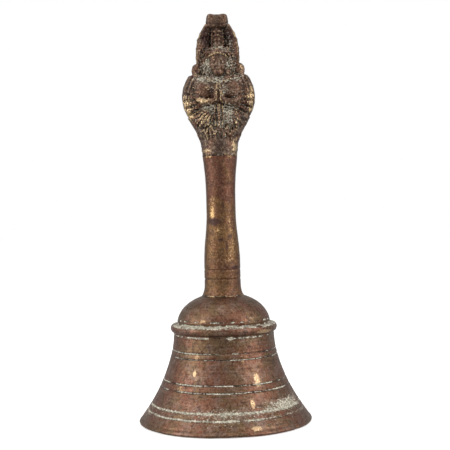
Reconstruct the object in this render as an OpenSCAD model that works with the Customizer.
// Brass puja bell: a flared hand bell with a turned grip and a figure finial.
// The bell stands on its mouth. Origin: centre of the mouth plane. +Z is up, the figure faces -Y.

/* [Bell] */
// Outer radius of the mouth
mouth_r = 38.3; // [36:0.1:40]
// Outer radius just below the shoulder ring
waist_r = 22.3; // [21:0.1:23]
// Height of the waist, where the flare ends
waist_z = 39; // [38:0.1:40]
// Thickness of the cast wall
wall = 2.9; // [2.4:0.1:3.2]
// Outer radius of the dome at its base
dome_r = 20.7; // [20:0.1:21]
// Height of the dome's base
dome_z = 43; // [42:0.1:44]
// Height of the flat crown that the grip stands on
crown_z = 55.4; // [55:0.1:56]
// Radius of the flat crown
crown_r = 9.6; // [9.4:0.1:10]
// Thickness of the crown at the stud
crown_thick = 3.8; // [3.5:0.1:4]
// Centre radius of the shoulder ring
ring_r = 21.4; // [21:0.1:21.8]
// Height of the shoulder ring
ring_z = 41.6; // [41.3:0.1:41.8]
// Thickness radius of the shoulder ring
ring_bead = 2.2; // [2:0.1:2.4]
// Heights of the grooves turned into the flare
groove_heights = [32.3, 29.8, 19.5, 16.6, 8.9, 6.2];
// Radius of the tool that turns the grooves
groove_tool = 0.45; // [0.3:0.05:0.6]

/* [Grip] */
// Radius of the grip's foot
foot_r = 9; // [8.8:0.1:9.2]
// Radius of the swelling near the foot
barrel_r = 8; // [7.8:0.1:8.2]
// Smallest radius of the grip
grip_r = 6.48; // [6.3:0.02:6.7]
// Radius where the finial sits
neck_r = 7.7; // [7.5:0.1:7.8]
// Height where the finial sits
neck_z = 117.8; // [117:0.1:118.5]
// Heights of the grooves turned into the grip
grip_groove_heights = [67.2, 63.1];

/* [Fastening] */
// Radius of the stud that ties the grip to the crown
stud_r = 3; // [2.8:0.1:3]
// Height of the stud's upper end, inside the grip
stud_top = 76; // [74:1:80]
// Radial clearance around the stud
stud_gap = 0.05; // [0.03:0.01:0.1]
// Radius of the washer
washer_r = 7; // [6.5:0.1:7.5]
// Thickness of the washer
washer_h = 1.6; // [1.4:0.1:1.8]
// Width across the nut's flats
nut_flats = 10; // [9.5:0.1:10.5]
// Height of the nut
nut_h = 5; // [4.8:0.1:5]
// Radius of the finial's dowel
pin_r = 2; // [1.8:0.1:2.1]
// Length of the finial's dowel
pin_l = 14; // [12:1:16]

/* [Clapper] */
// Height of the stud eye's hole, the ring's swing axis
eye_z = 41; // [40.8:0.1:41]
// Radius of the stud eye's hole
eye_hole_r = 2.4; // [2.3:0.05:2.5]
// Outer radius of the stud's eye
eye_r = 4.1; // [4:0.05:4.2]
// Thickness of the stud's eye
eye_thick = 2; // [1.8:0.1:2]
// Wire radius of the hanger ring
ring_wire = 0.9; // [0.8:0.05:0.95]
// Centre radius of the hanger ring
link_r = 4.6; // [4.5:0.1:5]
// Wire radius of the clapper's stem
stem_wire = 0.8; // [0.7:0.05:0.9]
// Centre radius of the stem's eye
loop_r = 2.8; // [2.7:0.1:3]
// Free play between hanging wires
play = 0.4; // [0.35:0.05:0.5]
// Largest radius of the bob
bob_r = 7.5; // [7:0.1:7.5]
// Height of the bob's widest place
bob_z = 12.2; // [12:0.1:12.6]
// Height of the clapper's lowest point
tip_z = 4.9; // [4.8:0.1:5.2]

/* [Finial] */
// Height of the finial's top
top_z = 180; // [179:0.5:181]
// Half width of the wing disc
wing_r = 16.2; // [15.5:0.1:16.5]
// Half width of the cobra's hood
hood_r = 9.4; // [9:0.1:9.8]

/* [Hidden] */
$fn = 96;

flare_steps = 22;
dome_steps = 14;
grip_steps = 12;
dome_power = 2.05;
seat_z = crown_z - crown_thick;
washer_z = seat_z - washer_h;
nut_z = washer_z - nut_h;
bead = 0.6;

// The hanger ring's wire lies near the bottom of the stud's eye, and the stem's eye on the ring.
ring_drop = eye_hole_r - ring_wire - play;
link_z = eye_z - ring_drop - link_r;
loop_z = link_z - link_r + ring_wire + stem_wire + play - loop_r;
bob_top = 20.6;
bob_neck_r = 2.6;
bob_base = tip_z + 0.7;

// Metals
brass = [0.62, 0.45, 0.26];
figure_brass = [0.56, 0.42, 0.27];
solder = [0.76, 0.68, 0.48];
steel = [0.42, 0.40, 0.38];

// A point of a cubic curve with the end points a and d and the handles b and c.
function cubic(a, b, c, d, t) =
    pow(1 - t, 3) * a + 3 * pow(1 - t, 2) * t * b + 3 * (1 - t) * t * t * c + pow(t, 3) * d;

function curve(a, b, c, d, steps) = [for (i = [0 : steps]) cubic(a, b, c, d, i / steps)];

// A quarter of a super-ellipse, from its base radius r up to where its radius has shrunk to end_r.
// Its height is set so that it ends at the height rise above the base.
function dome_height(r, end_r, rise) = rise / pow(1 - pow(end_r / r, dome_power), 1 / dome_power);
function dome_curve(r, end_r, base_z, rise) =
    let (h = dome_height(r, end_r, rise), last = acos(pow(end_r / r, dome_power / 2)))
    [for (i = [0 : dome_steps])
        let (a = last * i / dome_steps)
        [r * pow(cos(a), 2 / dome_power), base_z + h * pow(sin(a), 2 / dome_power)]];

// The flare's outside and inside, from the waist down to the lip.
function flare_point(t) = cubic([waist_r, waist_z], [waist_r - 0.3, waist_z - 7],
                                [mouth_r - 11.8, 16], [mouth_r, 1], t);
function flare_outside() = [for (i = [0 : flare_steps]) flare_point(i / flare_steps)];
function flare_inside() = curve([waist_r - wall - 0.5, waist_z + 0.5], [waist_r - wall - 0.2, waist_z - 8],
                                [mouth_r - wall - 11.8, 15.5], [mouth_r - wall, 0], flare_steps);

// The place on the flare at height z, found by halving.
function flare_at(z, lo = 0, hi = 1, n = 18) =
    n == 0 ? flare_point(lo)
    : let (mid = (lo + hi) / 2) flare_point(mid)[1] > z ? flare_at(z, mid, hi, n - 1)
                                                        : flare_at(z, lo, mid, n - 1);

function reversed(list) = [for (i = [len(list) - 1 : -1 : 0]) list[i]];

// The grip's radius eases from one driving radius to the next.
function ease(a, b, t) = a + (b - a) * (1 - cos(180 * t)) / 2;
function span(z0, z1, steps = grip_steps) = [for (i = [0 : steps]) [z0 + (z1 - z0) * i / steps, i / steps]];
foot_top = 60.5;
barrel_top = 70;
grip_low = 93;
grip_high = 95;
function grip_outline() = concat(
    [for (s = span(crown_z + bead, foot_top, 5))
        [foot_r + (barrel_r - foot_r) * (1 - pow(1 - s[1], 2)), s[0]]],
    [for (s = span(barrel_top, grip_low)) [ease(barrel_r, grip_r, s[1]), s[0]]],
    [for (s = span(grip_high, neck_z - bead)) [grip_r + (neck_r - grip_r) * pow(s[1], 2.2), s[0]]]);
function grip_at(z) = z < barrel_top ? barrel_r : grip_r;

module bell_body() {
    color(brass)
    rotate_extrude()
    difference() {
        union() {
            polygon(concat(
                reversed(flare_outside()),
                [[dome_r, waist_z + 0.4]],
                dome_curve(dome_r, crown_r, dome_z, crown_z - dome_z),
                [[stud_r + 0.2, crown_z], [stud_r + 0.2, seat_z]],
                reversed(dome_curve(dome_r - wall + 0.4, washer_r + 1.6, dome_z, seat_z - dome_z)),
                flare_inside(),
                [[mouth_r - 0.9, 0], [mouth_r - 0.2, 0.3]]));
            translate([ring_r, ring_z]) circle(r = ring_bead);
        }
        for (z = groove_heights) translate(flare_at(z) + [0.1, 0]) circle(r = groove_tool);
    }
}

module handle_shaft() {
    color(brass)
    rotate_extrude()
    difference() {
        polygon(concat(
            [[foot_r - bead, crown_z]],
            grip_outline(),
            [[neck_r - bead, neck_z],
             [pin_r + 0.03, neck_z], [pin_r + 0.03, neck_z - pin_l / 2 - 0.1],
             [0, neck_z - pin_l / 2 - 1.2], [0, stud_top + 1.8],
             [stud_r + stud_gap, stud_top + 0.2], [stud_r + stud_gap, crown_z]]));
        for (z = grip_groove_heights) translate([grip_at(z) + 0.15, z]) circle(r = groove_tool);
    }
}

// Bead of solder in the chamfer round the foot of the grip.
module foot_solder() {
    color(solder)
    rotate_extrude()
    polygon([[foot_r - bead, crown_z], [foot_r + 0.5, crown_z], [foot_r + 0.4, crown_z + 0.35],
             [foot_r, crown_z + bead]]);
}

// Bead of braze in the chamfer round the neck, under the finial.
module neck_braze() {
    color(solder)
    rotate_extrude()
    polygon([[neck_r, neck_z - bead], [neck_r + 0.12, neck_z - bead / 2], [neck_r + 0.1, neck_z],
             [neck_r - bead, neck_z]]);
}

module finial_pin() {
    chamfer = 0.4;
    color(steel)
    rotate_extrude()
    polygon([[0, neck_z - pin_l / 2], [pin_r - chamfer, neck_z - pin_l / 2],
             [pin_r, neck_z - pin_l / 2 + chamfer], [pin_r, neck_z + pin_l / 2 - chamfer],
             [pin_r - chamfer, neck_z + pin_l / 2], [0, neck_z + pin_l / 2]]);
}

// Stud with a forged eye: the eye hangs the clapper, and the nut draws the grip onto the crown.
module handle_stud() {
    color(steel)
    difference() {
        union() {
            translate([0, 0, eye_z + 2]) cylinder(r = stud_r, h = stud_top - eye_z - 2);
            translate([0, eye_thick / 2, eye_z]) rotate([90, 0, 0]) cylinder(r = eye_r, h = eye_thick);
        }
        translate([0, stud_r + 1, eye_z]) rotate([90, 0, 0]) cylinder(r = eye_hole_r, h = 2 * stud_r + 2);
        for (side = [0, 180])
            rotate(side) translate([-eye_r, eye_thick / 2, eye_z])
                cube([2 * eye_r, stud_r, nut_z - eye_z - 0.4]);
    }
}

module crown_washer() {
    color(steel)
    translate([0, 0, washer_z])
    difference() {
        cylinder(r = washer_r, h = washer_h);
        translate([0, 0, -1]) cylinder(r = stud_r + 0.2, h = washer_h + 2);
    }
}

module crown_nut() {
    color(steel)
    translate([0, 0, nut_z])
    difference() {
        cylinder(r = nut_flats / 2 / cos(30), h = nut_h, $fn = 6);
        translate([0, 0, -1]) cylinder(r = stud_r + stud_gap, h = nut_h + 2);
    }
}

module wire_ring(centre_r, wire_r) {
    rotate_extrude() translate([centre_r, 0]) circle(r = wire_r, $fn = 32);
}

// The hanger ring stands in the YZ plane, so it turns in the stud's eye about Y.
module hanger_ring() {
    color(steel)
    translate([0, 0, link_z]) rotate([0, 90, 0]) wire_ring(link_r, ring_wire);
}

// The stem's eye stands in the XZ plane, so it slides along the ring about X.
module clapper_stem() {
    stem_top = loop_z - loop_r;
    color(steel)
    union() {
        translate([0, 0, loop_z]) rotate([90, 0, 0]) wire_ring(loop_r, stem_wire);
        translate([0, 0, tip_z + 0.6]) cylinder(r = stem_wire, h = stem_top - tip_z - 0.6);
        translate([0, 0, tip_z]) cylinder(r1 = stem_wire + 0.3, r2 = stem_wire + 0.7, h = 0.7);
    }
}

module clapper_bob() {
    hole_r = stem_wire + 0.03;
    belly = curve([bob_neck_r, bob_top], [bob_neck_r + 0.4, bob_top - 4],
                  [bob_r, bob_z + 4.6], [bob_r, bob_z], 10);
    base = curve([bob_r, bob_z], [bob_r, bob_z - 3.9],
                 [bob_r - 3.4, bob_base], [stem_wire + 0.9, bob_base], 8);
    color(brass)
    rotate_extrude()
    polygon(concat([[hole_r, bob_top]], belly,
                   [for (i = [1 : len(base) - 1]) base[i]], [[hole_r, bob_base]]));
}

// Shapes of the cast figure
module blob(at, size, sides = 20) {
    translate(at) scale(size) sphere(r = 1, $fn = sides);
}
module limb(from, from_r, to, to_r, sides = 12) {
    hull() {
        translate(from) sphere(r = from_r, $fn = sides);
        translate(to) sphere(r = to_r, $fn = sides);
    }
}
module both_sides() {
    children();
    mirror([1, 0, 0]) children();
}

// Socket on the grip, opening into the round wing disc behind the figure
module wing_disc() {
    hull() {
        blob([0, 1.2, 144], [wing_r, 3.2, 10], 24);
        blob([0, 0.8, 132.4], [wing_r - 3.8, 5, 6.6], 24);
    }
    hull() {
        translate([0, 0, neck_z]) cylinder(r = neck_r, h = 0.6, $fn = 36);
        translate([0, 0, neck_z + 8.4]) scale([1.06, 0.92, 1]) cylinder(r = 8.3, h = 1.6, $fn = 36);
    }
    hull() {
        translate([0, 0, neck_z + 8]) scale([1.06, 0.92, 1]) cylinder(r = 8.3, h = 2, $fn = 36);
        blob([0, -1, 136], [10.6, 6.6, 6], 24);
    }
}

module folded_figure() {
    blob([0, -1.6, 147], [8.2, 6.2, 8.6]);
    both_sides() {
        blob([5, -4.4, 135.4], [4.9, 4.4, 5.6]);
        limb([8.6, -0.6, 151.4], 3.3, [8.9, -3.6, 144.2], 2.9);
        limb([8.4, -4.4, 143.4], 2.7, [1.6, -7.6, 145.6], 1.7);
        blob([10.1, 0, 155.4], [2.1, 2.6, 2.3], 12);
        blob([4.5, -1.4, 159.4], [1.2, 1.8, 3], 12);
    }
    limb([0, -8, 142.6], 1.3, [0, -7.8, 148.2], 1.1);
    limb([0, -0.6, 151], 4.4, [0, -0.8, 157], 3.2);
    blob([0, -2.3, 158.6], [4.1, 4.5, 6]);
    limb([0, -1.2, 164.6], 3.1, [0, -1, 167.6], 1.7);
}

module cobra_hood() {
    hood_z = 164.2;
    hull() {
        blob([0, 3, hood_z], [hood_r, 2.4, 7.6], 24);
        blob([0, 2.6, hood_z - 8], [hood_r - 1, 2.2, 4], 24);
    }
    hull() {
        blob([0, 2.6, hood_z + 5], [hood_r - 0.5, 2.6, 3.6], 24);
        blob([0, 0.6, top_z - 5], [4.9, 4.6, 4], 24);
    }
    hull() {
        blob([0, -0.4, top_z - 4.6], [5, 4.4, 3.4], 24);
        translate([0, -0.4, top_z - 0.5]) cylinder(r = 4.2, h = 0.5, $fn = 24);
    }
    limb([0, -0.6, top_z - 6], 3.2, [0, 0.8, hood_z + 2], 2.6);
    limb([0, 4.4, hood_z], 2.4, [0, 4, 150], 2.8);
    limb([0, 4, 150], 2.8, [0, 3.6, 130], 3.4);
}

module figure_finial() {
    color(figure_brass)
    difference() {
        union() {
            wing_disc();
            folded_figure();
            cobra_hood();
        }
        translate([0, 0, neck_z - 1]) cylinder(r = pin_r + 0.08, h = pin_l / 2 + 1.2, $fn = 48);
    }
}

bell_body();
handle_shaft();
figure_finial();
foot_solder();
neck_braze();
finial_pin();
handle_stud();
crown_washer();
crown_nut();
hanger_ring();
clapper_stem();
clapper_bob();
